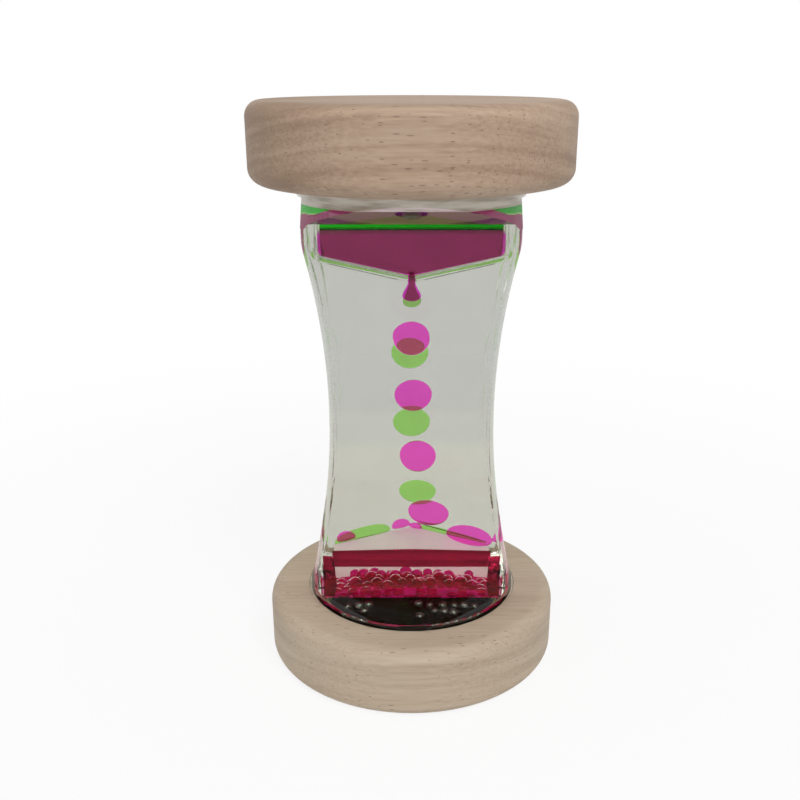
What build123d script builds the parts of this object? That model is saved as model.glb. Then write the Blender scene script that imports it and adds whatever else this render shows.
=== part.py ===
from build123d import *
from functools import cache
import math
import os

# Liquid motion timer: a sealed, clear hourglass shell between two wooden caps.
# Two coloured liquids stand in funnels at the top and drip through clear oil to the bottom.
# Millimetres, +Z up, origin at the centre of the underside, flat front face towards -Y.

# Overall
timer_height = 140.0
cap_diameter = 75.0
cap_thickness = 18.0
cap_edge_radius = 3.5
recess_depth = 10.0
glue_line = 0.7

# Clear shell: round collars, flat front and back, waisted sides
collar_diameter = 53.4
collar_rise = 2.5
shoulder_rise = 4.8
corner_rise = 9.0
side_rise = 12.5
end_width = 49.2
waist_width = 39.0
face_depth = 35.0
side_blend = 15.0
edge_radius = 2.8
shell_wall = 2.0

# Clear inner pieces
lid_thickness = 3.0
divider_thickness = 1.5
fill_bore = 5.0
fill_head = 8.0
fill_head_depth = 1.2
funnel_wall = 1.4
side_passage = 1.2
funnel_tip_depth = 29.3
funnel_height = 13.3
funnel_slope = 13.0
roof_ridge_rise = 25.8
rear_funnel_drop = 1.8
funnel_corner_radius = 3.0
drip_bore = 2.4

# Clearances
seat_gap = 0.1
liquid_gap = 0.1
landing_gap = 0.3

# Liquid levels, below the shell's top or above the lower lid
magenta_headspace = 18.0
green_headspace = 16.5
magenta_lower_depth = 7.4
green_lower_depth = 7.4

# Drops; their rises are shares of the fall from mid-height to a funnel's tip
drop_radius = 4.85
drop_crown = 4.0
drop_belly = 4.6
magenta_drop_rises = (0.544, 0.116, -0.361, -0.847)
magenta_drop_drifts = (0.0, 0.4, 1.5, 4.2)
green_drop_rises = (0.343, -0.208, -0.789)
green_drop_drifts = (-0.4, 0.0, 1.5)
magenta_drop_travel = (3.5, 3.8)
green_drop_travel = (5.0, 4.5)
pendant_radius = 2.2
pendant_neck = 0.8
magenta_pendant_drop = 3.9
green_pendant_drop = 6.5
landed_length = 12.0
landed_width = 8.4
landed_crown = 3.0
landed_belly = 1.8
landed_travel = (1.0, 0.8)

# Films running off the lower funnel; the shares count along its slope from the ridge to the side wall
film_thickness = 2.0
film_layer = 3.2
film_width = 9.0
film_side_gap = 1.9
bead_radius = 2.6
bead_crown = 1.8
bead_along = -3.2
landed_share = 0.69
magenta_film_share = 0.75
green_left_share = 0.28
green_right_share = 0.126

# Small droplets that have not merged yet, standing on the lower pools
droplet_radius = 2.7
droplet_spread = 0.35
droplet_pitch = 9.0
droplet_columns = 4
droplet_row_pitch = 6.6

# Places that follow from the sizes above
middle = timer_height / 2
shell_bottom = cap_thickness - recess_depth
shell_top = timer_height - shell_bottom
collar_radius = collar_diameter / 2
flat_half = face_depth / 2
waist_half = waist_width / 2
end_half = end_width / 2
collar_top = cap_thickness + collar_rise
side_start = cap_thickness + side_rise
shoulder_angle = math.atan2(shoulder_rise, collar_radius - flat_half)
side_height = middle - side_start
side_bow = end_half - waist_half
side_radius = (side_height**2 + side_bow**2) / (2 * side_bow)
chamber_front = flat_half - shell_wall
chamber_back = divider_thickness / 2
column_offset = (chamber_front + chamber_back) / 2
slope_angle = math.radians(funnel_slope)
funnel_half_width = end_half - shell_wall - side_passage
half_fall = shell_top - funnel_tip_depth - middle
pool_floor = shell_bottom + lid_thickness
film_reach = (end_half - shell_wall - film_side_gap) / math.cos(slope_angle)
landed_along = landed_share * film_reach
mid_plane = Plane.XY.offset(middle)
quarter_bow = 4 / 3 * (math.sqrt(2) - 1)
front = -1
back = 1
left = -1
right = 1


def face_outline(inset):
    """The shell seen from the front: sides that draw in to the waist."""
    half = end_half - inset
    waist = waist_half - inset
    radius = side_radius + inset
    rise = math.sqrt(radius**2 - (waist_half + side_radius - half) ** 2)
    sides = []
    for hand in (left, right):
        sides.append(Line((hand * half, shell_bottom), (hand * half, middle - rise)))
        sides.append(ThreePointArc(
            (hand * half, middle - rise), (hand * waist, middle), (hand * half, middle + rise)
        ))
        sides.append(Line((hand * half, middle + rise), (hand * half, shell_top)))
    ends = [Line((-half, level), (half, level)) for level in (shell_bottom, shell_top)]
    outline = make_face(sides + ends)
    bends = [corner for corner in outline.vertices() if abs(abs(corner.Y - middle) - rise) < 0.01]
    return fillet(bends, side_blend)


def side_outline(inset):
    """The shell seen from the side: flat faces that slope out to the round collars."""
    flat = flat_half - inset
    full = collar_radius - inset
    drawn = inset * math.tan(shoulder_angle) - inset / math.cos(shoulder_angle)
    rim = collar_top + drawn
    edge = rim + shoulder_rise
    lower = [(full, shell_bottom), (full, rim), (flat, edge)]
    upper = [(y, timer_height - z) for y, z in reversed(lower)]
    right_half = lower + upper
    left_half = [(-y, z) for y, z in reversed(right_half)]
    return make_face(Polyline(right_half + left_half, close=True))


def round_limit(inset):
    """What rounds the body's corners off towards the collars."""
    full = collar_radius - inset
    square = math.hypot(end_half, flat_half)
    lower = [(full, shell_bottom), (full, collar_top), (square, collar_top + corner_rise)]
    upper = [(r, timer_height - z) for r, z in reversed(lower)]
    outline = Polyline([(0, shell_bottom)] + lower + upper + [(0, shell_top)], close=True)
    return revolve(Plane.XZ * make_face(outline), Axis.Z)


def collar(inset):
    rise = collar_top - inset - shell_bottom
    return Pos(0, 0, shell_bottom + rise / 2) * Cylinder(collar_radius - inset, rise)


@cache
def vessel_form(inset, rounding=0):
    """The shell's outer form, drawn in by an even inset."""
    body = extrude(Plane.XZ * face_outline(inset), amount=collar_radius, both=True)
    body &= extrude(Plane.YZ * side_outline(inset), amount=end_width, both=True)
    if rounding:
        tall = [edge for edge in body.edges() if abs(abs(edge.center().Y) - flat_half) < 0.01]
        body = fillet([edge for edge in tall if edge.center().X**2 > 1], rounding)
    body &= round_limit(inset)
    end = collar(inset)
    return body + end + mirror(end, about=mid_plane)


def half_space(side, gap):
    """Everything on one side of the divider: side is -1 for the front, 1 for the back."""
    start = chamber_back + gap
    depth = cap_diameter
    centre = side * (start + depth / 2)
    return Pos(0, centre, middle) * Box(2 * cap_diameter, depth, timer_height)


def top_cap():
    blank = Pos(0, 0, timer_height - cap_thickness / 2) * Cylinder(cap_diameter / 2, cap_thickness)
    blank = fillet(blank.edges().filter_by(GeomType.CIRCLE), cap_edge_radius)
    recess_start = timer_height - cap_thickness
    recess = Pos(0, 0, recess_start + recess_depth / 2) * Cylinder(
        collar_radius + glue_line, recess_depth
    )
    return blank - recess


def glue_ring():
    """Glue between the upper collar and the wall of its recess."""
    start = timer_height - cap_thickness
    centre = Pos(0, 0, start + recess_depth / 2)
    outer = centre * Cylinder(collar_radius + glue_line - seat_gap, recess_depth - 2 * seat_gap)
    inner = centre * Cylinder(collar_radius + seat_gap, recess_depth)
    return outer - inner


def body_shell():
    """The moulding, open at both ends until the lids close it."""
    return vessel_form(0, edge_radius) - vessel_form(shell_wall)


def fill_places():
    return [(0, side * column_offset) for side in (-1, 1)]


def lid_blank():
    radius = collar_radius - shell_wall - seat_gap
    return Pos(0, 0, shell_top - lid_thickness / 2) * Cylinder(radius, lid_thickness)


def fill_plug(x, y, gap):
    """One stepped plug; with a gap of zero it is the hole that the plug closes."""
    shank = Pos(x, y, shell_top - lid_thickness / 2) * Cylinder(fill_bore / 2 - gap, lid_thickness)
    head_centre = shell_top - fill_head_depth / 2
    head = Pos(x, y, head_centre) * Cylinder(fill_head / 2 - gap, fill_head_depth)
    return shank + head


def upper_lid():
    lid = lid_blank()
    for x, y in fill_places():
        lid -= fill_plug(x, y, 0)
    return lid


def divider_plate():
    sheet_height = shell_top - shell_bottom - 2 * lid_thickness
    sheet = Pos(0, 0, middle) * Box(cap_diameter, divider_thickness, sheet_height)
    return vessel_form(shell_wall + seat_gap) & sheet


def funnel_tip(side):
    return shell_top - funnel_tip_depth - (rear_funnel_drop if side == back else 0)


def roof_ridge(side):
    return shell_bottom + roof_ridge_rise - (rear_funnel_drop if side == back else 0)


def trough_outline(inset, top):
    """Filled outline of a funnel over its tip: a shallow V with rounded corners and upright lips."""
    half = funnel_half_width - inset
    tip = inset / math.cos(slope_angle)
    corner = tip + half * math.tan(slope_angle)
    outline = make_face(
        Polyline((0, tip), (half, corner), (half, top), (-half, top), (-half, corner), close=True)
    )
    corners = outline.vertices().sort_by(Axis.Y)[1:3]
    return fillet(corners, funnel_corner_radius - inset)


def trough(grow):
    """A funnel's bent sheet from front to back, thickened by grow on every side."""
    outer = trough_outline(-grow, funnel_height + grow)
    inner = trough_outline(funnel_wall + grow, funnel_height + funnel_wall)
    return extrude(Plane.XZ * (outer - inner), amount=flat_half, both=True)


def upright(piece, side):
    """Sets a form drawn over its tip in the place of an upper funnel."""
    return Pos(0, 0, funnel_tip(side)) * piece


def turned_over(piece, side):
    """Sets the same form upside down in the place of a lower funnel."""
    return Pos(0, 0, roof_ridge(side)) * mirror(piece, about=Plane.XY)


def trough_filling(gap, level, side):
    """What stands in an upper funnel up to a level."""
    filled = trough_outline(funnel_wall + gap, level - funnel_tip(side))
    return upright(extrude(Plane.XZ * filled, amount=flat_half, both=True), side)


def funnel(side, place):
    """One funnel, between the shell's flat face and the divider."""
    room = vessel_form(shell_wall + seat_gap) & half_space(side, seat_gap)
    bore = Pos(0, side * column_offset, 0) * Cylinder(drip_bore / 2, 4 * funnel_wall)
    return place(trough(0) - bore, side) & room


def chamber(side):
    """The room for liquid on one side of the divider."""
    return vessel_form(shell_wall + liquid_gap) & half_space(side, liquid_gap)


def pendant(side, length):
    """The thread and bulb that hang through a drip bore."""
    start = 2 * funnel_wall
    bulb_centre = -length
    outline = Polyline(
        (0, start), (pendant_neck, start), (pendant_neck, -pendant_neck),
        (pendant_radius * 0.8, bulb_centre + pendant_radius * 0.6), (0, bulb_centre), close=True
    )
    thread = revolve(Plane.XZ * make_face(outline), Axis.Z)
    bulb = Pos(0, 0, bulb_centre) * Sphere(pendant_radius)
    return Pos(0, side * column_offset, funnel_tip(side)) * (thread + bulb)


def upper_pool(side, level, pendant_length):
    """The liquid still standing in one funnel, with its pendant."""
    return (trough_filling(liquid_gap, level, side) & chamber(side)) + pendant(side, pendant_length)


def level_slice(low, high):
    return Pos(0, 0, (low + high) / 2) * Box(cap_diameter, cap_diameter, high - low)


def lower_pool(side, depth):
    return chamber(side) & level_slice(pool_floor + liquid_gap, pool_floor + depth)


def drop_form(radius, crown, belly):
    """A drop about its widest level: a flatter crown above and a fuller belly below."""
    bow = quarter_bow * radius
    upper = Bezier((0, crown), (bow, crown), (radius, quarter_bow * crown), (radius, 0))
    lower = Bezier((radius, 0), (radius, -quarter_bow * belly), (bow, -belly), (0, -belly))
    axis = Line((0, -belly), (0, crown))
    return revolve(Plane.XZ * make_face([upper, lower, axis]), Axis.Z)


def falling_drop(side, rise, drift):
    place = Pos(drift, side * column_offset, middle + rise * half_fall)
    return place * drop_form(drop_radius, drop_crown, drop_belly)


def on_roof(along, lift, side):
    """A place on the lower funnel's sloping roof, turned to lie along it."""
    tilt = math.copysign(funnel_slope, along)
    x = along * math.cos(slope_angle) + math.sin(math.radians(tilt)) * lift
    z = roof_ridge(side) - abs(along) * math.sin(slope_angle) + math.cos(slope_angle) * lift
    return Pos(x, side * column_offset, z) * Rot(0, tilt, 0)


def landed_drop():
    """A flat drop, longer down the slope than across it."""
    lift = landed_belly + landing_gap
    drop = drop_form(landed_width / 2, landed_crown, landed_belly)
    longer = scale(drop, by=(landed_length / landed_width, 1, 1))
    return on_roof(landed_along, lift, front) * longer


def roof_film(share, direction, side):
    """A strip of liquid creeping down the roof to the side wall, with a rolled upper edge."""
    start = share * film_reach
    strip = Box(film_reach - start, film_width, film_thickness)
    strip = fillet(strip.edges().group_by(Axis.Z)[-1], 0.45 * film_thickness)
    centre = direction * (start + film_reach) / 2
    return on_roof(centre, film_thickness / 2 + liquid_gap, side) * strip


def ridge_bead():
    """A short bead left beside the ridge of the front roof."""
    belly = film_thickness / 2
    return on_roof(bead_along, belly + liquid_gap, front) * drop_form(bead_radius, bead_crown, belly)


def settled_droplets(side, depth):
    """Two staggered rows of droplets on one lower pool."""
    level = pool_floor + depth + liquid_gap
    droplets = []
    for row in (-1, 1):
        for column in range(droplet_columns - (row > 0)):
            phase = column + (row > 0) / 2
            radius = droplet_radius + droplet_spread * math.sin(2.3 * column + row)
            x = (phase - (droplet_columns - 1) / 2) * droplet_pitch
            y = side * (column_offset + row * droplet_row_pitch / 2)
            droplets.append(Pos(x, y, level + radius) * Sphere(radius))
    return Compound(children=droplets)


def flipped(piece):
    """The lower twin of an upper piece."""
    return mirror(piece, about=mid_plane)


def upright_lane(x, side, radius, low, high):
    """Room in the oil for something round that hangs or falls."""
    place = Pos(x, side * column_offset, (low + high) / 2)
    return place * Cylinder(radius + landing_gap, high - low + 2 * landing_gap)


def drop_lanes(side, rises, drifts, travel):
    """Room for each falling drop over its whole travel."""
    lanes = []
    for rise, drift in zip(rises, drifts):
        centre = middle + rise * half_fall
        low = centre - drop_belly - travel[1]
        high = centre + drop_crown + travel[0]
        lanes.append(upright_lane(drift, side, drop_radius, low, high))
    return lanes


def run_off_layer():
    """The layer on the lower funnel in which films and beads creep down."""
    covered = trough_outline(-film_layer, funnel_height) - trough_outline(0, funnel_height)
    slope_only = Rectangle(2 * funnel_half_width, 4 * funnel_height)
    return extrude(Plane.XZ * (covered & slope_only), amount=flat_half, both=True)


def landed_lane():
    """Room for the landed drop as it runs down the front roof."""
    length = sum(landed_travel) + landed_length + 2 * landing_gap
    height = landed_belly + landed_crown + 2 * landing_gap
    along = landed_along + (landed_travel[1] - landed_travel[0]) / 2
    lane = Box(length, landed_width + 2 * landing_gap, height)
    return on_roof(along, height / 2, front) * lane


def oil(side, level, pendant_length, pool_depth, lanes):
    """The clear oil of one chamber, parted where the coloured liquid hangs, falls and runs."""
    droplet_top = pool_floor + pool_depth + 2 * (droplet_radius + droplet_spread) + landing_gap
    body = chamber(side) & level_slice(droplet_top, shell_top - lid_thickness - liquid_gap)
    tip = funnel_tip(side)
    hanging = upright_lane(0, side, pendant_radius, tip - pendant_length - pendant_radius, tip + funnel_wall)
    sheet = trough(liquid_gap)
    taken = [upright(sheet, side), turned_over(sheet, side), trough_filling(0, level + liquid_gap, side)]
    taken += [hanging, turned_over(run_off_layer(), side)] + lanes
    for room in taken:
        body -= room
    return body


magenta_level = shell_top - magenta_headspace
green_level = shell_top - green_headspace
magenta_lanes = drop_lanes(front, magenta_drop_rises, magenta_drop_drifts, magenta_drop_travel)
magenta_lanes.append(landed_lane())
green_lanes = drop_lanes(back, green_drop_rises, green_drop_drifts, green_drop_travel)
pieces = {
    "top_cap": top_cap(),
    "bottom_cap": flipped(top_cap()),
    "upper_glue_ring": glue_ring(),
    "lower_glue_ring": flipped(glue_ring()),
    "body_shell": body_shell(),
    "upper_lid": upper_lid(),
    "lower_lid": flipped(lid_blank()),
    "fill_plugs": Compound(children=[fill_plug(x, y, seat_gap) for x, y in fill_places()]),
    "divider_plate": divider_plate(),
    "upper_front_funnel": funnel(front, upright),
    "upper_rear_funnel": funnel(back, upright),
    "lower_front_funnel": funnel(front, turned_over),
    "lower_rear_funnel": funnel(back, turned_over),
    "magenta_upper_pool": upper_pool(front, magenta_level, magenta_pendant_drop),
    "green_upper_pool": upper_pool(back, green_level, green_pendant_drop),
    "magenta_lower_pool": lower_pool(front, magenta_lower_depth),
    "green_lower_pool": lower_pool(back, green_lower_depth),
    "front_oil": oil(
        front, magenta_level, magenta_pendant_drop, magenta_lower_depth, magenta_lanes
    ),
    "rear_oil": oil(back, green_level, green_pendant_drop, green_lower_depth, green_lanes),
    "magenta_landed_drop": landed_drop(),
    "magenta_roof_film": Compound(children=[
        roof_film(magenta_film_share, left, front), ridge_bead()
    ]),
    "green_roof_film": Compound(children=[
        roof_film(green_left_share, left, back), roof_film(green_right_share, right, back)
    ]),
    "magenta_settled_drops": settled_droplets(front, magenta_lower_depth),
    "green_settled_drops": settled_droplets(back, green_lower_depth),
}
for index, (rise, drift) in enumerate(zip(magenta_drop_rises, magenta_drop_drifts)):
    pieces[f"magenta_drop_{index + 1}"] = falling_drop(front, rise, drift)
for index, (rise, drift) in enumerate(zip(green_drop_rises, green_drop_drifts)):
    pieces[f"green_drop_{index + 1}"] = falling_drop(back, rise, drift)

os.makedirs("parts", exist_ok=True)
for name, piece in pieces.items():
    export_step(piece, f"parts/{name}.step")
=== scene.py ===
import math

import bmesh
import bpy
from mathutils import Matrix, Vector


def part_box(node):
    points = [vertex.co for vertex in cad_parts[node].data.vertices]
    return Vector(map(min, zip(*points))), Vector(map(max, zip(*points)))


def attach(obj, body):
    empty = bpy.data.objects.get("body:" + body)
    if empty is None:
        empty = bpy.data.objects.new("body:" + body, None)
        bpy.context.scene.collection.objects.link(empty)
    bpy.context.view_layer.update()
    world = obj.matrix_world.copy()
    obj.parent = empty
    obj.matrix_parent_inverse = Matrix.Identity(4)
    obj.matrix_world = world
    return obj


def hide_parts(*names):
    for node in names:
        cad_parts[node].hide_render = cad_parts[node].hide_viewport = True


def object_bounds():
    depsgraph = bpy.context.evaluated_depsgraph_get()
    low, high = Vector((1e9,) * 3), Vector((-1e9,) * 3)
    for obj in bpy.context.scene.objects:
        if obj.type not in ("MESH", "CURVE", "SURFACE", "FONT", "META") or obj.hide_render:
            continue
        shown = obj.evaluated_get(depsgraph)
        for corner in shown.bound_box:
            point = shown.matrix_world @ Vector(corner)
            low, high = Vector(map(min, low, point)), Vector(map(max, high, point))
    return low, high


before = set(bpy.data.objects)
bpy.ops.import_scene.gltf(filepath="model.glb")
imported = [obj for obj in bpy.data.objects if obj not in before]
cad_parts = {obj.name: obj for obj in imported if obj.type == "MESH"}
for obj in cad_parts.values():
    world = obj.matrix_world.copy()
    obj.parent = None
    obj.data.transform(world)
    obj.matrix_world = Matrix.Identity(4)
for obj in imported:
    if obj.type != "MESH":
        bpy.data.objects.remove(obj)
cad_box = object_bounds()
mid_height = (cad_box[0][2] + cad_box[1][2]) / 2

# Camera, fitted to the outline of both caps in an 800 x 800 picture
picture_width = 800
camera_distance = 0.235
camera_height = 0.1466
camera_pitch = math.radians(21.16)
focal_pixels = 982.8
axis_right_of_centre = 11.5
axis_below_centre = 48

# Square lamps that point at the timer's middle: place and power
lamps = {"key_light": ((0.25, -0.75, 0.95), 9), "fill_light": ((-0.7, -0.3, 0.5), 1)}
lamp_size = 0.6

# How much each piece bends light, against what it stands in
plastic_in_air = 1.49
plastic_in_oil = 1.02
funnel_in_oil = 1.004
film_in_oil = 1.0
drop_in_oil = 0.985
pool_in_oil = 0.995
deep_in_oil = 0.905
droplet_in_oil = 0.925
settled_in_oil = 1.02
glossy_droplet = 2.8

# Clear pieces: what is left of white light
untinted = (1, 1, 1)
faint_tint = (0.99, 0.99, 0.98)
# Painted view through the shell: greenish above for the backdrop, warmer below for the table
painted_backdrop_tint = (0.533, 0.543, 0.512)
painted_table_tint = (0.602, 0.604, 0.535)
speck_tint = (0.25, 0.25, 0.22)
shell_shade = (0.86, 0.87, 0.85)
# Painted shade along the upper front funnel's edge
shaded_line = (0.30, 0.34, 0.28)

# Dyed liquids: what is left of white light
drop_tint = {"magenta": (1.0, 0.14, 0.84), "green": (0.48, 0.93, 0.25)}
pool_tint = {"magenta": (0.93, 0.070, 0.77), "green": (0.42, 0.75, 0.22)}
deep_tint = {"magenta": (0.02, 0.010, 0.010), "green": (0.02, 0.08, 0.015)}
droplet_tint = {"magenta": (0.68, 0.010, 0.22), "green": (0.48, 0.93, 0.25)}
clinging_tint = {"magenta": (0.35, 0.007, 0.045), "green": (0.03, 0.62, 0.05)}
side_tint = (0.85, 0.12, 0.38)
# Painted shade along the edges of the green film on the rear roof
shaded_green = (0.08, 0.16, 0.05)

# Dyed liquids: the painted glow of their drops, which stands for light the magenta drops gather from
# brighter surroundings, what lamp light keeps behind them, and what cloudy ones look like
painted_drop_glow = {"magenta": (0.058, 0.0015, 0.004), "green": (0, 0, 0)}
passing = {"magenta": (1.0, 0.94, 0.99), "green": (0.96, 1.0, 0.93)}
passing_droplets = {"magenta": (1.0, 0.94, 0.99), "green": (0.48, 0.93, 0.25)}
passing_cloudy = (0.8, 0.7, 0.75)
settled_mass = (0.70, 0.006, 0.17)
dark_dye = (0.012, 0.022, 0.010)

# How far a tint wavers, and how finely it is streaked along each axis
clear_waver = 0.01
dye_waver = 0.03
film_waver = 0.3
soft_clouds = (120, 120, 120)
fine_clouds = (300, 300, 300)
level_streaks = (12, 12, 900)
side_streaks = (900, 300, 100)

# Wood: dark, middle and pale tone of each cap, the pores, and where a cap's boards meet
upper_wood = ((0.30, 0.200, 0.132), (0.42, 0.298, 0.208), (0.50, 0.375, 0.275))
lower_wood = ((0.40, 0.305, 0.215), (0.50, 0.398, 0.292), (0.57, 0.472, 0.360))
pore_tone = (0.13, 0.075, 0.045)
upper_board_joint = 0.0335
joint_beyond_cap = 1

# Meshes: points this close are one, and edges flatter than this are smooth
same_place = 1e-6
crease = math.radians(25)

# The shell: its ends, the reach of its inner skin, its glued upper collar and its lowered shoulders
end_clearance = 0.0001
collar_inner_reach = 0.0255
upper_collar = 0.1183
shoulder_sink = 0.0027
shoulder_from, shoulder_full = 0.018, 0.024
shoulder_still, shoulder_end = 0.025, 0.045

# Depths at which films and plates lie, and their thickness
front_wall = -0.01548
divider_front, divider_rear = -0.00083, 0.00083
green_film_front = 0.00088
film_thickness = 0.00004
plate_thickness = 0.00006

# Where the liquid stands; the front chamber holds magenta, the rear one green
column_offset = 0.008125
chamber_side = {"magenta": -1, "green": 1}
funnel_tip = {"magenta": 0.1016, "green": 0.0995}
funnel_sink = {"magenta": 0.0011, "green": 0.0020}
funnel_spread = {"magenta": 1.045, "green": 1.073}
funnel_slope = math.tan(math.radians(13))
roof_ridge = {"magenta": 0.0368, "green": 0.0358}
roof_lift = {"magenta": 0.0028, "green": 0.0038}
roof_fall = {"magenta": math.radians(14.2), "green": math.radians(17)}
roof_clearance = 0.0001
landed_shift = (-0.0002, 0.0027, 0.0025)
upper_level = {"magenta": 0.1124, "green": 0.1148}
lower_level = 0.0186

# Each falling drop's own form: across, deep, tall, its lean in degrees and its lift
drop_forms = {
    "magenta_drop_1": (0.90, 0.90, 0.94, 2, 0),
    "magenta_drop_2": (0.93, 0.92, 0.90, -3, 0),
    "magenta_drop_3": (0.92, 0.92, 0.92, 6, 0),
    "magenta_drop_4": (1.06, 0.96, 0.74, 9, 0.0007),
    "green_drop_1": (0.94, 0.92, 0.90, 0, 0),
    "green_drop_2": (0.96, 0.94, 0.86, -2, 0),
    "green_drop_3": (0.98, 0.94, 0.70, 3, 0),
}

# A hanging drop: share of its length, and its radius there in millimetres
pendant_shape = [
    (0.07, 0.80), (0.16, 0.82), (0.26, 0.93), (0.36, 1.15), (0.46, 1.45), (0.56, 1.76), (0.66, 2.00),
    (0.75, 2.12), (0.83, 2.06), (0.89, 1.84), (0.94, 1.48), (0.975, 1.00), (0.995, 0.45),
]
pendant_length = {"magenta": 0.0053, "green": 0.0071}
pendant_rows = 30

# Blobs on the roofs: place along the slope, length, width, height, shift in depth, lift and bluntness
roof_blobs = {
    "magenta": [
        (-0.0170, 0.0050, 0.0026, 0.0024, 0.0059, 0.0006, 1),
        (-0.0026, 0.0048, 0.0026, 0.0022, 0.0059, 0.0007, 1),
        (0.0010, 0.0034, 0.0024, 0.0013, 0.0060, 0.0001, 1),
    ],
    "green": [
        (-0.0130, 0.0150, 0.0044, 0.0029, -0.0050, 0, 0.6),
        (0.0112, 0.0185, 0.0026, 0.0015, -0.0059, 0, 0.5),
    ],
}
blob_rim = 0.16
blob_turns = 40

# Beds of settled droplets: from and to across, nearest and farthest depth, height in the middle
beds = {
    "magenta": [
        (-0.0206, 0.0206, -0.0135, -0.0030, 0.0222),
        (-0.0200, 0.0200, -0.0135, -0.0030, 0.0234),
        (-0.0155, 0.0155, -0.0128, -0.0036, 0.0244),
        (-0.0205, 0.0205, -0.0137, -0.0132, 0.0210),
        (-0.0205, 0.0205, -0.0137, -0.0132, 0.0197),
    ],
    "green": [(-0.0180, 0.0180, 0.0028, 0.0136, 0.0172)],
    "front": [
        (-0.0168, -0.0085, -0.0178, -0.0164, 0.0190),
        (-0.0146, -0.0100, -0.0196, -0.0182, 0.0185),
        (0.0015, 0.0164, -0.0178, -0.0164, 0.0190),
        (0.0040, 0.0130, -0.0200, -0.0184, 0.0184),
        (0.0020, 0.0065, -0.0218, -0.0208, 0.0180),
    ],
}
bed_bow = 2.5
bed_steps = 16

# Droplets on each kind of bed: smallest and largest radius, spacing and seed
droplet_sets = {
    "magenta": (0.0013, 0.0019, 0.0025, 4),
    "green": (0.0012, 0.0016, 0.0025, 9),
    "front": (0.0009, 0.0013, 0.0022, 2),
}


class Signal:
    """A shader socket that takes part in Python sums; each sum adds its Math node."""

    def __init__(self, finish, socket):
        self.finish = finish
        self.socket = socket

    def sum(self, operation, first, second):
        return self.finish.add("ShaderNodeMath", {"operation": operation}, {0: first, 1: second})

    def __add__(self, other):
        return self.sum("ADD", self, other)

    def __radd__(self, other):
        return self.sum("ADD", other, self)

    def __sub__(self, other):
        return self.sum("SUBTRACT", self, other)

    def __rsub__(self, other):
        return self.sum("SUBTRACT", other, self)

    def __mul__(self, other):
        return self.sum("MULTIPLY", self, other)

    def __rmul__(self, other):
        return self.sum("MULTIPLY", other, self)

    def __gt__(self, other):
        return self.sum("GREATER_THAN", self, other)

    def __lt__(self, other):
        return self.sum("LESS_THAN", self, other)


class Finish:
    """The node tree of one material, or of the studio's air."""

    def __init__(self, owner):
        owner.use_nodes = True
        self.owner = owner
        self.tree = owner.node_tree
        self.tree.nodes.clear()

    def add(self, kind, settings, sockets, output=0):
        """One node: its settings are set first, then its sockets get values or links."""
        node = self.tree.nodes.new(kind)
        for name, value in settings.items():
            if name == "stops":
                self.set_stops(node.color_ramp, value)
            else:
                setattr(node, name, value)
        for key, value in sockets.items():
            self.feed(node.inputs[key], value)
        return Signal(self, node.outputs[output]) if node.outputs else node

    def feed(self, socket, value):
        if isinstance(value, Signal):
            self.tree.links.new(value.socket, socket)
        elif socket.type == "RGBA" and len(value) == 3:
            socket.default_value = (*value, 1)
        else:
            socket.default_value = value

    def set_stops(self, ramp, stops):
        while len(ramp.elements) < len(stops):
            ramp.elements.new(1)
        for element, (place, colour) in zip(ramp.elements, stops):
            element.position = place
            element.color = (*colour, 1)

    def ramp(self, value, stops):
        return self.add("ShaderNodeValToRGB", {"stops": stops}, {0: value})

    def blend(self, share, first, second):
        sockets = {0: share, 6: first, 7: second}
        return self.add("ShaderNodeMix", {"data_type": "RGBA"}, sockets, 2)

    def noise(self, place, scale, detail, roughness=0.5):
        sockets = {"Vector": place, "Scale": scale, "Detail": detail, "Roughness": roughness}
        return self.add("ShaderNodeTexNoise", {}, sockets)

    def cells(self, place, scale, output="Distance"):
        return self.add("ShaderNodeTexVoronoi", {}, {"Vector": place, "Scale": scale}, output)

    def place(self):
        return self.add("ShaderNodeTexCoord", {}, {}, "Object")

    def along(self, place, axis):
        return self.add("ShaderNodeSeparateXYZ", {}, {0: place}, axis)

    def stretched(self, place, scale, move=(0, 0, 0)):
        return self.add("ShaderNodeMapping", {}, {"Vector": place, "Location": move, "Scale": scale})

    def between(self, value, start, end, first=0.0, last=1.0, easing="LINEAR"):
        """Goes from a first to a last number while a value runs from start to end."""
        return self.add("ShaderNodeMapRange", {"interpolation_type": easing}, {
            "Value": value, "From Min": start, "From Max": end, "To Min": first, "To Max": last,
        })

    def ray(self, kind):
        return self.add("ShaderNodeLightPath", {}, {}, f"Is {kind} Ray")

    def seen_directly(self):
        """1 for rays from the camera, and for those that went through or off something clear."""
        return 1 - (1 - self.ray("Camera")) * (1 - self.ray("Glossy")) * (1 - self.ray("Transmission"))

    def principled(self, sockets):
        return self.add("ShaderNodeBsdfPrincipled", {}, sockets)

    def mix(self, share, first, second):
        return self.add("ShaderNodeMixShader", {}, {0: share, 1: first, 2: second})

    def open_to_lamps(self, body, shade):
        """Lets the light of the lamps through a body, shaded a little."""
        passed = self.add("ShaderNodeBsdfTransparent", {}, {"Color": shade})
        return self.mix(self.ray("Shadow"), body, passed)

    def close(self, surface, kind="ShaderNodeOutputMaterial"):
        self.add(kind, {}, {0: surface})
        return self.owner


def finish(name):
    return Finish(bpy.data.materials.new(name))


def lit_through(clear, tint, bend, shade, glow=(0, 0, 0)):
    """Closes a clear finish, with its tint, its glow and what the lamps' light keeps behind it."""
    body = clear.principled({
        "Base Color": tint, "Roughness": 0, "IOR": bend, "Transmission Weight": 1,
        "Emission Color": glow, "Emission Strength": 1,
    })
    return clear.close(clear.open_to_lamps(body, shade))


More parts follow.
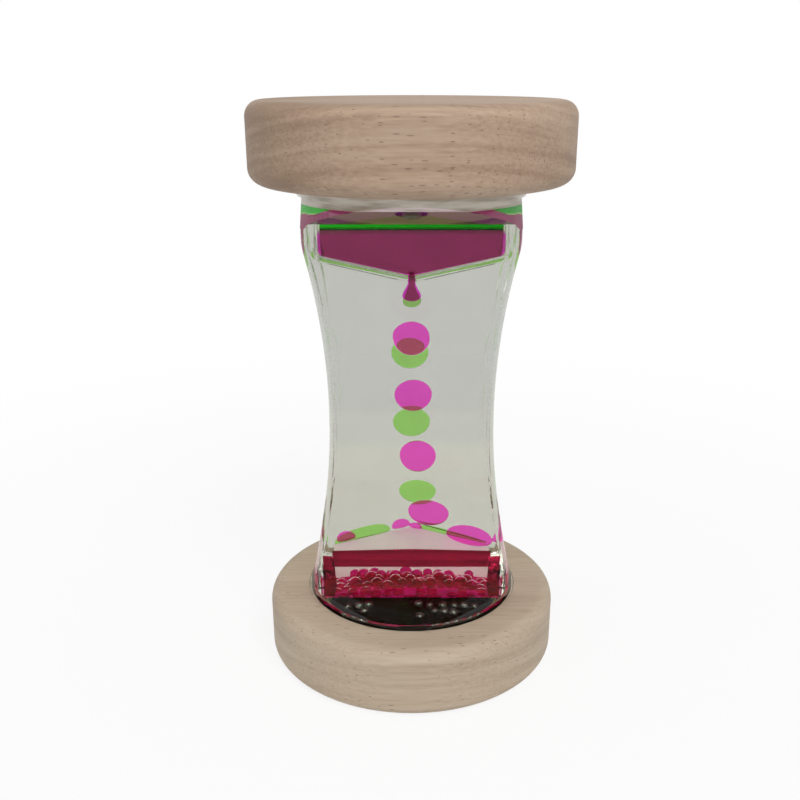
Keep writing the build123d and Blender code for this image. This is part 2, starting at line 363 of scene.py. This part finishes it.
def see_through(name, tint, bend, shade, waver=dye_waver, streaks=soft_clouds, glow=(0, 0, 0)):
    """A clear finish that lets the lamps through; its tint wavers a little from place to place."""
    clear = finish(name)
    cloud = clear.noise(clear.stretched(clear.place(), streaks), 1.0, 3)
    thin = tuple(min(1, value * (1 + waver)) for value in tint)
    thick = tuple(value * (1 - waver) for value in tint)
    return lit_through(clear, clear.ramp(cloud, [(0.35, thick), (0.65, thin)]), bend, shade, glow)


def cloudy(name, tint, bend, clear_share, roughness):
    """A dyed liquid that holds back part of the light and shows its own colour."""
    liquid = finish(name)
    cloud = liquid.noise(liquid.place(), 420, 3)
    deep = tuple(value * 0.55 for value in tint)
    body = liquid.principled({
        "Base Color": liquid.ramp(cloud, [(0.35, deep), (0.62, tint)]), "Roughness": roughness,
        "IOR": bend, "Transmission Weight": clear_share,
    })
    return liquid.close(liquid.open_to_lamps(body, passing_cloudy))


def mottled(name, streaks, detail, stops, roughness):
    """A finish that nothing shines through, in a few tones that run into each other."""
    solid = finish(name)
    cloud = solid.noise(solid.stretched(solid.place(), streaks), 1.0, detail)
    return solid.close(solid.principled({"Base Color": solid.ramp(cloud, stops), "Roughness": roughness}))


def outer_skin():
    """The moulding against the air, with a few specks; greenish above and warmer towards the base, which is
    painted: it stands for the backdrop above and the table below, seen through the moulding.
    """
    clear = finish("clear_plastic_in_air")
    place = clear.place()
    height = clear.along(place, "Z") + clear.noise(place, 30, 1) * 0.002
    above = clear.between(height, 0.0625, 0.0665, easing="SMOOTHSTEP")
    speck = clear.cells(place, 130) < 0.028
    tint = clear.blend(speck * 0.45, clear.blend(above, painted_table_tint, painted_backdrop_tint), speck_tint)
    return lit_through(clear, tint, plastic_in_air, shell_shade)


def mottled_upper_collar():
    """Opaque mottled finish on the outer skin of the upper collar: cream and brown, streaked along its
    height.
    """
    tones = [(0.35, (0.42, 0.36, 0.28)), (0.55, (0.78, 0.75, 0.66)), (0.7, (0.88, 0.86, 0.80))]
    return mottled("mottled_upper_collar", (60, 60, 500), 4, tones, 0.18)


# Pale matte finish: the plate on the divider, and the painted highlight along the upper front funnel's edge
# and ends
def matte_plate_and_edge_highlight():
    tones = [(0.3, (0.80, 0.79, 0.74)), (0.7, (0.88, 0.87, 0.83))]
    return mottled("matte_plate_and_edge_highlight", (200, 200, 200), 3, tones, 0.5)


def cured_glue():
    tones = [(0.3, (0.36, 0.30, 0.21)), (0.7, (0.56, 0.49, 0.37))]
    return mottled("cured_glue", (300, 300, 300), 3, tones, 0.3)


def plug_plastic():
    tones = [(0.3, (0.62, 0.62, 0.60)), (0.7, (0.72, 0.72, 0.70))]
    return mottled("plug_plastic", (500, 500, 500), 2, tones, 0.25)


def lid_face_painted_glow():
    """A lid's bonded face, with a painted glow that stands for the lit wood behind it."""
    bond = finish("lid_face_painted_glow")
    grain = bond.noise(bond.stretched(bond.place(), (60, 600, 600)), 1.0, 3)
    seen = bond.ramp(grain, [(0.3, (0.120, 0.125, 0.045)), (0.7, (0.175, 0.180, 0.070))])
    return bond.close(bond.principled({
        "Base Color": (0.03, 0.022, 0.016), "Roughness": 0.6, "Emission Color": seen, "Emission Strength": 1,
    }))


def pores(timber, moved, sparse):
    """1 in short dark pores along the grain, which crowd together in places."""
    pitted = timber.stretched(moved, (360, 2300, 2300))
    crowd = timber.noise(timber.stretched(moved, (30, 60, 90)), 1.0, 2)
    draw = timber.add("ShaderNodeSeparateColor", {}, {0: timber.cells(pitted, 1.0, "Color")})
    chosen = draw + crowd * 0.9 > sparse
    return (timber.cells(pitted, 1.0) < 0.30) * chosen


def wood(name, tones, move, joint, sparse, left_darkening):
    """Sanded, straight-grained wood with pores, a glued joint, and darker towards the left."""
    timber = finish(name)
    place = timber.place()
    moved = timber.stretched(place, (1, 1, 1), move)
    x, y, z = (timber.along(moved, axis) for axis in "XYZ")
    bend = timber.noise(timber.stretched(moved, (9, 16, 16)), 1.0, 2)
    layer = (z + y * 0.2) * 330 + bend * 3.2
    laid = timber.add("ShaderNodeCombineXYZ", {}, {0: x * 10, 1: y * 24, 2: layer})
    streak = timber.noise(laid, 1.0, 5, 0.62)
    fibre = timber.noise(timber.stretched(moved, (55, 1700, 1700)), 1.0, 3, 0.6)
    across = timber.along(place, "X")
    board = (across > joint) * 0.035
    # darker towards the left of the cap
    darker_left = timber.between(across, -0.036, -0.008, left_darkening, 0.0, "SMOOTHSTEP")
    tone = streak * 0.66 + fibre * 0.34 - board - darker_left
    colour = timber.ramp(tone, list(zip((0.34, 0.50, 0.66), tones)))
    pore = pores(timber, moved, sparse)
    relief = timber.add("ShaderNodeBump", {}, {
        "Height": fibre * 0.4 - pore, "Strength": 0.12, "Distance": 0.0002,
    })
    return timber.close(timber.principled({
        "Base Color": timber.blend(pore * 0.55, colour, pore_tone), "Roughness": 0.62, "Normal": relief,
    }))


def made_mesh(name, built):
    mesh = bpy.data.meshes.new(name)
    built.to_mesh(mesh)
    built.free()
    return mesh


def merged(name, node):
    """A CAD node's own form, its facets joined and smooth up to the sharp edges."""
    built = bmesh.new()
    built.from_mesh(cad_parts[node].data)
    bmesh.ops.remove_doubles(built, verts=built.verts, dist=same_place)
    for face in built.faces:
        face.smooth = True
    for edge in built.edges:
        edge.smooth = edge.calc_face_angle(0) < crease
    mesh = made_mesh(name, built)
    if "custom_normal" in mesh.attributes:
        mesh.attributes.remove(mesh.attributes["custom_normal"])
    return mesh


def piece(name, mesh, material, body, replaced=()):
    """One visible piece: its finish, the body it rides on and the nodes it stands for."""
    placed = bpy.data.objects.new(name, mesh)
    bpy.context.scene.collection.objects.link(placed)
    if not mesh.materials:
        for one in material if isinstance(material, list) else [material]:
            mesh.materials.append(one)
    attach(placed, body)
    if replaced:
        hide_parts(*replaced)


def rectangle(left, right, low, high):
    return [(left, low), (right, low), (right, high), (left, high)]


def slat(start, end, height, slope, rise):
    """A thin strip along a slope; height is where its first line would cross the axis."""
    first, second = height + start * slope, height + end * slope
    return [(start, first), (end, second), (end, second + rise), (start, first + rise)]


def mirrored(outline):
    return [(-x, z) for x, z in outline]


def plate(name, outlines, y, depth):
    """Thin flat pieces across the view, with outlines drawn in X and Z."""
    built = bmesh.new()
    for outline in outlines:
        near = [built.verts.new((x, y, z)) for x, z in outline]
        far = [built.verts.new((x, y + depth, z)) for x, z in outline]
        built.faces.new(near)
        built.faces.new(far[::-1])
        for first, second in zip(range(len(near)), [*range(1, len(near)), 0]):
            built.faces.new((near[first], far[first], far[second], near[second]))
    bmesh.ops.recalc_face_normals(built, faces=built.faces)
    return made_mesh(name, built)


def part_skins(mesh):
    """Numbers the finishes: 0 for the skin in air, 1 for the skin in oil, 2 for the glued upper collar.

    The end rings part the two skins from each other.
    """
    low = min(vertex.co.z for vertex in mesh.vertices)
    high = max(vertex.co.z for vertex in mesh.vertices)
    walked = bmesh.new()
    walked.from_mesh(mesh)
    bmesh.ops.bisect_plane(
        walked, geom=[*walked.verts, *walked.edges, *walked.faces], dist=same_place / 10,
        plane_co=(0, 0, upper_collar), plane_no=(0, 0, 1),
    )
    ends = {
        face for face in walked.faces
        if all(vertex.co.z < low + same_place or vertex.co.z > high - same_place for vertex in face.verts)
    }
    left = set(walked.faces) - ends
    while left:
        skin = [left.pop()]
        for face in skin:
            near = {other for edge in face.edges for other in edge.link_faces} & left
            left -= near
            skin.extend(near)
        rim = (vertex.co for face in skin for vertex in face.verts if vertex.co.z < low + same_place)
        reach = max(corner.xy.length for corner in rim)
        for face in skin:
            face.material_index = int(reach < collar_inner_reach)
    for face in walked.faces:
        high_up = all(vertex.co.z > upper_collar - same_place for vertex in face.verts)
        if face.material_index == 0 and high_up:
            face.material_index = 2
    walked.to_mesh(mesh)
    walked.free()


def eased(value, start, end):
    share = min(max((value - start) / (end - start), 0), 1)
    return share * share * (3 - 2 * share)


def low_shoulders(mesh):
    """Draws the lower shoulders down towards the cap, where the shell sits deeper than in the upper one."""
    for vertex in mesh.vertices:
        z = vertex.co.z
        share = eased(z, shoulder_from, shoulder_full) * (1 - eased(z, shoulder_still, shoulder_end))
        vertex.co.z = z - shoulder_sink * share
    return mesh


def between_shell_ends(mesh):
    """Keeps a clear piece just off the caps, so no two surfaces fall together."""
    low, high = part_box("body_shell")
    for vertex in mesh.vertices:
        vertex.co.z = min(max(vertex.co.z, low.z + end_clearance), high.z - end_clearance)
    return mesh


def upper_set(mesh, colour):
    """Lowers an upper funnel, or what stands in it, and spreads it to the chamber's width."""
    spread = Matrix.Diagonal((funnel_spread[colour], 1, 1, 1))
    mesh.transform(Matrix.Translation((0, 0, -funnel_sink[colour])) @ spread)
    return mesh


def lower_set(mesh, colour):
    """Lifts a lower funnel and makes its roof a little steeper."""
    steeper = math.tan(roof_fall[colour]) - funnel_slope
    for vertex in mesh.vertices:
        vertex.co.z += roof_lift[colour] - abs(vertex.co.x) * steeper
    return mesh


def clear_piece(node, mesh, material):
    piece(f"clear_{node}", mesh, material, "timer", (node,))


def clear_shell(in_oil):
    """The moulding with its oil: its outer skin stands in air and its inner one in oil."""
    mesh = low_shoulders(between_shell_ends(merged("clear_shell", "body_shell")))
    part_skins(mesh)
    finishes = [outer_skin(), in_oil, mottled_upper_collar()]
    piece("clear_shell", mesh, finishes, "timer", ("body_shell", "front_oil", "rear_oil"))


def clear_divider(in_oil):
    mesh = between_shell_ends(merged("clear_divider", "divider_plate"))
    piece("clear_divider", mesh, in_oil, "timer", ("divider_plate",))


def clear_funnels():
    thin = see_through("clear_funnel_plastic", faint_tint, funnel_in_oil, untinted, clear_waver)
    for place, colour in (("front", "magenta"), ("rear", "green")):
        for node, seat in ((f"upper_{place}_funnel", upper_set), (f"lower_{place}_funnel", lower_set)):
            clear_piece(node, seat(merged(f"clear_{node}", node), colour), thin)


def funnel_edges(matte):
    """Lines along the upper front funnel: a painted highlight on its edge and ends, drawn in the pale matte
    finish, and painted shade below them.
    """
    edge_height, edge_thick = 0.1029, 0.00045
    shade_below, shade_thick = 0.0012, 0.00016
    shaded = slat(0.003, 0.0185, edge_height - shade_below, funnel_slope, -shade_thick)
    bright = slat(0.0012, 0.0209, edge_height, funnel_slope, -edge_thick)
    end = rectangle(0.02115, 0.02160, 0.1079, 0.1118)
    shade = see_through("shaded_edge", shaded_line, film_in_oil, untinted, film_waver, fine_clouds)
    for name, outlines, material in (
        ("shaded_funnel_edge", [mirrored(shaded), shaded], shade),
        ("painted_funnel_edge_highlight", [bright, end, mirrored(bright), mirrored(end)], matte),
    ):
        mesh = plate(name, outlines, front_wall, film_thickness)
        piece(name, mesh, material, "timer")


def matte_end_plate(matte):
    """The matte plate on the divider, below the front roof."""
    half, foot, eaves, ridge = 0.0198, 0.0212, 0.0314, 0.0366
    gable = [(-half, foot), (half, foot), (half, eaves), (0, ridge), (-half, eaves)]
    mesh = plate("matte_end_plate", [gable], divider_front, -plate_thickness)
    piece("matte_end_plate", mesh, matte, "timer")


def clear_lids(in_oil):
    bond = lid_face_painted_glow()
    for node in ("upper_lid", "lower_lid"):
        mesh = between_shell_ends(merged(f"clear_{node}", node))
        bonded = max((vertex.co.z for vertex in mesh.vertices), key=lambda z: abs(z - mid_height))
        for face in mesh.polygons:
            heights = (mesh.vertices[corner].co.z for corner in face.vertices)
            face.material_index = int(all(abs(z - bonded) < same_place for z in heights))
        clear_piece(node, mesh, [in_oil, bond])


def clear_pieces():
    in_oil = see_through("clear_plastic_in_oil", faint_tint, plastic_in_oil, untinted, clear_waver)
    matte = matte_plate_and_edge_highlight()
    clear_shell(in_oil)
    clear_divider(in_oil)
    clear_funnels()
    funnel_edges(matte)
    matte_end_plate(matte)
    clear_lids(in_oil)


def smooth_rows(shape, count):
    """Points along a curve that runs evenly through the given ones."""
    rows = []
    padded = [shape[0], *shape, shape[-1]]
    for index in range(count + 1):
        place = index / count * (len(shape) - 1)
        step = min(int(place), len(shape) - 2)
        share = place - step
        before, first, second, after = (Vector(point) for point in padded[step:step + 4])
        bow = (second - before) * share + (2 * before - 5 * first + 4 * second - after) * share**2
        bow += (3 * first - before - 3 * second + after) * share**3
        rows.append(first + bow / 2)
    return rows


def stood_at(mesh, level):
    """Brings a pool's upper face to the level at which the liquid stands."""
    top = max(vertex.co.z for vertex in mesh.vertices)
    for vertex in mesh.vertices:
        if vertex.co.z > min(top, level) - same_place:
            vertex.co.z = level
    return mesh


def hang_pendant(mesh, colour):
    """Cuts the pool's thread below the funnel and lets a smooth drop hang from the cut."""
    tip = funnel_tip[colour]
    length = pendant_length[colour]
    column = Vector((0, chamber_side[colour] * column_offset))
    built = bmesh.new()
    built.from_mesh(mesh)
    bmesh.ops.bisect_plane(
        built, geom=[*built.verts, *built.edges, *built.faces], dist=same_place / 10,
        plane_co=(0, 0, tip - pendant_shape[0][0] * length), plane_no=(0, 0, 1), clear_inner=True,
    )
    rim = [edge for edge in built.edges if edge.is_boundary]
    for share, radius in smooth_rows(pendant_shape, pendant_rows)[1:]:
        made = bmesh.ops.extrude_edge_only(built, edges=rim)["geom"]
        for vertex in made:
            if isinstance(vertex, bmesh.types.BMVert):
                spoke = (vertex.co.xy - column).normalized() * radius / 1000
                vertex.co = (*(column + spoke), tip - share * length)
        rim = [edge for edge in made if isinstance(edge, bmesh.types.BMEdge) and edge.is_boundary]
    bmesh.ops.edgenet_fill(built, edges=rim)
    bmesh.ops.recalc_face_normals(built, faces=built.faces)
    for face in built.faces:
        face.smooth = True
    built.to_mesh(mesh)
    built.free()
    return mesh


def formed_drop(node):
    """A falling drop, a little out of round in its own way."""
    mesh = merged(f"dyed_{node}", node)
    low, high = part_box(node)
    centre = (low + high) / 2
    across, deep, tall, lean, lift = drop_forms[node]
    form = Matrix.Rotation(math.radians(lean), 4, "Y") @ Matrix.Diagonal((across, deep, tall, 1))
    mesh.transform(Matrix.Translation(centre + Vector((0, 0, lift))) @ form @ Matrix.Translation(-centre))
    return mesh


def puddle(built, colour, along, length, width, height, aside, up, blunt):
    """A blob that lies on the sloping roof: flat below, domed above, sizes in metres."""
    profile = [(0.02, 0), (0.4, 0), (0.8, 0), (0.95, 0.03), (1, blob_rim)]
    for turn in (0.25, 0.5, 0.75, 1.0, 1.2, 1.4, 1.55):
        profile.append((math.cos(turn) ** blunt, blob_rim + (1 - blob_rim) * math.sin(turn)))
    tilt = math.copysign(roof_fall[colour], along)
    x = along * math.cos(tilt)
    y = chamber_side[colour] * column_offset + aside
    z = roof_ridge[colour] - abs(along * math.sin(tilt)) + roof_clearance + up
    place = Matrix.Translation((x, y, z)) @ Matrix.Rotation(tilt, 4, "Y")
    rings = []
    for out, rise in profile:
        ring = []
        for step in range(blob_turns):
            angle = math.tau * step / blob_turns
            ring.append(built.verts.new(place @ Vector((
                length / 2 * out * math.cos(angle), width / 2 * out * math.sin(angle), height * rise,
            ))))
        rings.append(ring)
    for lower, upper in zip(rings, rings[1:]):
        for step in range(blob_turns):
            after = (step + 1) % blob_turns
            built.faces.new((lower[step], lower[after], upper[after], upper[step]))
    built.faces.new(rings[0][::-1])
    built.faces.new(rings[-1])


def run_off(name, colour):
    """What creeps down the lower funnel, as one piece."""
    built = bmesh.new()
    for blob in roof_blobs[colour]:
        puddle(built, colour, *blob)
    bmesh.ops.recalc_face_normals(built, faces=built.faces)
    for face in built.faces:
        face.smooth = True
    return made_mesh(name, built)


def heap_bed(name):
    """Sheets on which the settled droplets are strewn, each a little higher in the middle."""
    built = bmesh.new()
    for start, end, near, far, lift in beds[name]:
        rows = []
        for y in (near, (near + far) / 2, far):
            line = []
            for step in range(bed_steps + 1):
                x = start + (end - start) * step / bed_steps
                line.append(built.verts.new((x, y, lift - bed_bow * x**2)))
            rows.append(line)
        for first, second in zip(rows, rows[1:]):
            for step in range(bed_steps):
                built.faces.new((first[step], first[step + 1], second[step + 1], second[step]))
    return made_mesh(f"{name}_bed", built)


def strewing():
    """Geometry nodes: droplets of mixed size, never closer than a spacing, strewn over a bed."""
    group = bpy.data.node_groups.new("strewn_droplets", "GeometryNodeTree")
    face = group.interface
    face.new_socket("Bed", in_out="INPUT", socket_type="NodeSocketGeometry")
    for name in ("Spacing", "Smallest", "Largest"):
        face.new_socket(name, in_out="INPUT", socket_type="NodeSocketFloat")
    face.new_socket("Seed", in_out="INPUT", socket_type="NodeSocketInt")
    face.new_socket("Liquid", in_out="INPUT", socket_type="NodeSocketMaterial")
    face.new_socket("Droplets", in_out="OUTPUT", socket_type="NodeSocketGeometry")
    nodes = group.nodes
    link = group.links.new
    given = nodes.new("NodeGroupInput").outputs
    strew = nodes.new("GeometryNodeDistributePointsOnFaces")
    strew.distribute_method = "POISSON"
    strew.inputs["Density Max"].default_value = 2e6
    ball = nodes.new("GeometryNodeMeshIcoSphere")
    ball.inputs["Radius"].default_value = 1
    ball.inputs["Subdivisions"].default_value = 2
    size = nodes.new("FunctionNodeRandomValue")
    size.data_type = "FLOAT"
    put = nodes.new("GeometryNodeInstanceOnPoints")
    real = nodes.new("GeometryNodeRealizeInstances")
    smooth = nodes.new("GeometryNodeSetShadeSmooth")
    dye = nodes.new("GeometryNodeSetMaterial")
    out = nodes.new("NodeGroupOutput")
    link(given["Bed"], strew.inputs["Mesh"])
    link(given["Spacing"], strew.inputs["Distance Min"])
    link(given["Seed"], strew.inputs["Seed"])
    numbers = [socket for socket in size.inputs if socket.type == "VALUE"]
    low, high = (socket for socket in numbers if socket.name in ("Min", "Max"))
    link(given["Smallest"], low)
    link(given["Largest"], high)
    link(given["Seed"], size.inputs["Seed"])
    link(strew.outputs["Points"], put.inputs["Points"])
    link(ball.outputs["Mesh"], put.inputs["Instance"])
    link(size.outputs["Value"], put.inputs["Scale"])
    link(put.outputs["Instances"], smooth.inputs["Geometry"])
    link(smooth.outputs["Geometry"], real.inputs["Geometry"])
    link(real.outputs["Geometry"], dye.inputs["Geometry"])
    link(given["Liquid"], dye.inputs["Material"])
    link(dye.outputs["Geometry"], out.inputs["Droplets"])
    return group


def settled_droplets(group, name, material):
    """The droplets of one kind of bed, as one mesh."""
    bed = bpy.data.objects.new(f"{name}_bed", heap_bed(name))
    bpy.context.scene.collection.objects.link(bed)
    strewn = bed.modifiers.new("strewn", "NODES")
    strewn.node_group = group
    smallest, largest, spacing, seed = droplet_sets[name]
    values = {"Spacing": spacing, "Smallest": smallest, "Largest": largest, "Seed": seed, "Liquid": material}
    for item in group.interface.items_tree:
        if item.in_out == "INPUT" and item.name in values:
            strewn[item.identifier] = values[item.name]
    seen = bpy.context.evaluated_depsgraph_get()
    mesh = bpy.data.meshes.new_from_object(bed.evaluated_get(seen))
    bpy.data.objects.remove(bed)
    mesh.name = f"{name}_droplets"
    return mesh


def dyed_piece(node, mesh, dye, body="timer"):
    piece(f"dyed_{node}", mesh, dye, body, (node,))


def flat_liquid(name, outlines, y, depth, dye):
    """Dyed liquid with a flat front, such as a film on a wall."""
    piece(name, plate(name, outlines, y, depth), dye, "timer")


def pools(colour):
    """The upper pool with its hanging drop, and the lower pool."""
    still = see_through(f"{colour}_pool_dye", pool_tint[colour], pool_in_oil, passing[colour])
    deep = see_through(f"deep_{colour}_dye", deep_tint[colour], deep_in_oil, deep_tint[colour])
    node = f"{colour}_upper_pool"
    mesh = hang_pendant(upper_set(merged(f"dyed_{node}", node), colour), colour)
    dyed_piece(node, stood_at(mesh, upper_level[colour]), still)
    node = f"{colour}_lower_pool"
    dyed_piece(node, stood_at(merged(f"dyed_{node}", node), lower_level), deep)


def roof_film(colour, dye):
    node = f"{colour}_roof_film"
    dyed_piece(node, run_off(f"dyed_{node}", colour), dye)


def droplet_heap(colour, group):
    name = f"{colour}_droplet_dye"
    dye = see_through(name, droplet_tint[colour], droplet_in_oil, passing_droplets[colour])
    dyed_piece(f"{colour}_settled_drops", settled_droplets(group, colour, dye), dye)


def moving_drops(dyes):
    for node in drop_forms:
        colour = node.split("_")[0]
        dyed_piece(node, formed_drop(node), dyes[colour], node)
    node = "magenta_landed_drop"
    mesh = merged(f"dyed_{node}", node)
    mesh.transform(Matrix.Translation(landed_shift))
    dyed_piece(node, mesh, dyes["magenta"], node)


def dark_front_droplets(group):
    """Dark droplets below the front shoulder."""
    dye = cloudy("dark_droplet_dye", dark_dye, glossy_droplet, clear_share=0.0, roughness=0.05)
    piece("dark_front_droplets", settled_droplets(group, "front", dye), dye, "timer")


def settled_magenta_mass():
    """The mass that the settled magenta droplets lie in."""
    half, foot, edge = 0.0221, 0.0185, 0.0216
    top_half, top = 0.011, 0.0229
    near, depth = -0.0139, 0.0128
    mass = [(-half, foot), (half, foot), (half, edge), (top_half, top), (-top_half, top), (-half, edge)]
    dye = cloudy("settled_magenta_dye", settled_mass, settled_in_oil, clear_share=0.25, roughness=0.3)
    flat_liquid("settled_magenta_mass", [mass], near, depth, dye)


def green_film_edges():
    """Painted shade: dark lines along the green that creeps down the rear roof, below it, and above it on
    the right.
    """
    thick, film_height = 0.00022, 0.00150
    slope = math.tan(roof_fall["green"])
    foot = roof_ridge["green"] + roof_clearance
    lines = [
        slat(-0.0192, -0.0050, foot, slope, thick),
        slat(0.0014, 0.0192, foot, -slope, thick),
        slat(0.0014, 0.0192, foot + film_height, -slope, thick),
    ]
    dye = see_through("shaded_film_edge", shaded_green, film_in_oil, untinted, film_waver)
    flat_liquid("shaded_film_edges", lines, green_film_front, film_thickness, dye)


def clinging_dye(colour):
    tint = clinging_tint[colour]
    name = f"clinging_{colour}_dye"
    return see_through(name, tint, film_in_oil, passing[colour], film_waver, level_streaks)


def magenta_wall_film():
    """A band and two bars on the front wall."""
    half, foot, edge, top = 0.0197, 0.0300, 0.0345, 0.0350
    band = [(-half, foot), (half, foot), (half, edge), (0, top), (-half, edge)]
    bar = [
        (0.0188, 0.0250), (0.0196, 0.0205), (0.0222, 0.0205),
        (0.0218, 0.0330), (0.0198, 0.0330), (0.0192, 0.0300),
    ]
    outlines = [band, mirrored(bar), bar]
    dye = clinging_dye("magenta")
    flat_liquid("magenta_wall_film", outlines, front_wall, film_thickness, dye)


def magenta_side_film():
    """Films on the side walls of the front chamber."""
    near, depth = -0.0150, 0.0138
    inside = 0.02220
    side = rectangle(inside, inside + film_thickness, 0.0185, 0.0262)
    kept = passing["magenta"]
    dye = see_through("side_magenta_dye", side_tint, film_in_oil, kept, film_waver, side_streaks)
    flat_liquid("magenta_side_film", [mirrored(side), side], near, depth, dye)


def green_wall_film():
    """A strip on the divider's rear face, around the level of the upper green."""
    strip = rectangle(-0.0212, 0.0212, 0.1122, 0.1205)
    flat_liquid("green_wall_film", [strip], divider_rear, plate_thickness, clinging_dye("green"))


def liquids():
    dyes = {}
    group = strewing()
    for colour, tint in drop_tint.items():
        dye = see_through(f"{colour}_dye", tint, drop_in_oil, passing[colour], glow=painted_drop_glow[colour])
        dyes[colour] = dye
        pools(colour)
        roof_film(colour, dye)
        droplet_heap(colour, group)
    moving_drops(dyes)
    dark_front_droplets(group)
    settled_magenta_mass()
    green_film_edges()
    magenta_wall_film()
    magenta_side_film()
    green_wall_film()


def caps_and_small_parts():
    """The pieces that keep their CAD form and get a finish only."""
    glue = cured_glue()
    finishes = {
        "top_cap": wood(
            "upper_cap_wood", upper_wood, move=(0, 0, 0), joint=upper_board_joint,
            sparse=1.28, left_darkening=0.15,
        ),
        "bottom_cap": wood(
            "lower_cap_wood", lower_wood, move=(0.31, 0.12, 0.2), joint=joint_beyond_cap,
            sparse=1.42, left_darkening=0,
        ),
        "upper_glue_ring": glue,
        "lower_glue_ring": glue,
        "fill_plugs": plug_plastic(),
    }
    for node, material in finishes.items():
        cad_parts[node].material_slots[0].material = material


def white_paper():
    """White where it is seen, but for a soft shadow; in mirror images it is dimmer in front."""
    paper = finish("white_paper")
    place = paper.place()
    forward = paper.between(paper.along(place, "Y"), -0.03, -0.07)
    shown = paper.blend(paper.ray("Reflection") * forward, (1, 1, 1), (0.15, 0.15, 0.15))
    away = paper.add("ShaderNodeVectorMath", {"operation": "LENGTH"}, {0: place}, "Value")
    fade = paper.between(away, 0.05, 0.3, 0.86, 1.0)
    lit = paper.add("ShaderNodeBsdfDiffuse", {}, {"Color": (0.9, 0.9, 0.9)})
    white = paper.add("ShaderNodeEmission", {}, {"Color": shown, "Strength": 1})
    return paper.close(paper.mix(paper.seen_directly() * fade, lit, white))


def floor():
    half, height = 40, -0.0001
    corners = [(-half, -half, height), (half, -half, height), (half, half, height), (-half, half, height)]
    mesh = bpy.data.meshes.new("floor")
    mesh.from_pydata(corners, [], [(0, 1, 2, 3)])
    mesh.materials.append(white_paper())
    laid = bpy.data.objects.new("floor", mesh)
    bpy.context.scene.collection.objects.link(laid)


def softbox(name, place, power):
    lamp = bpy.data.lights.new(name, "AREA")
    lamp.shape = "SQUARE"
    lamp.size = lamp_size
    lamp.energy = power
    held = bpy.data.objects.new(name, lamp)
    held.location = place
    aim = Vector((0, 0, mid_height)) - Vector(place)
    held.rotation_euler = aim.to_track_quat("-Z", "Y").to_euler()
    bpy.context.scene.collection.objects.link(held)


def studio_air():
    """White all round where it is seen; in mirror images the room in front is dimmer."""
    air = Finish(bpy.data.worlds.new("studio_air"))
    bpy.context.scene.world = air.owner
    back = air.along(air.add("ShaderNodeTexCoord", {}, {}, "Generated"), "Y")
    room = air.between(back, -0.55, 0.05, 0.22, 1.0)
    strength = air.add("ShaderNodeMath", {"operation": "MAXIMUM"}, {0: 1 - air.ray("Reflection"), 1: room})
    light = air.add("ShaderNodeBackground", {}, {"Color": (1, 1, 1), "Strength": 0.34})
    white = air.add("ShaderNodeBackground", {}, {"Color": (1, 1, 1), "Strength": strength})
    air.close(air.mix(air.seen_directly(), light, white), "ShaderNodeOutputWorld")


def studio():
    floor()
    for name, (place, power) in lamps.items():
        softbox(name, place, power)
    studio_air()


def camera():
    lens = bpy.data.cameras.new("camera")
    lens.sensor_width = 36
    lens.lens = focal_pixels / picture_width * lens.sensor_width
    lens.shift_x = -axis_right_of_centre / picture_width
    lens.shift_y = axis_below_centre / picture_width
    lens.clip_start = 0.01
    held = bpy.data.objects.new("camera", lens)
    held.location = (0, -camera_distance, camera_height)
    held.rotation_euler = (math.pi / 2 - camera_pitch, 0, 0)
    bpy.context.scene.collection.objects.link(held)
    bpy.context.scene.camera = held


def light_paths():
    """Lets light cross the many clear surfaces that lie behind each other."""
    crossings, mirrorings = 40, 16
    paths = bpy.context.scene.cycles
    paths.max_bounces = crossings
    paths.transmission_bounces = crossings
    paths.glossy_bounces = mirrorings
    paths.transparent_max_bounces = crossings


clear_pieces()
liquids()
caps_and_small_parts()
studio()
camera()
light_paths()
bpy.context.scene.view_settings.view_transform = "Standard"
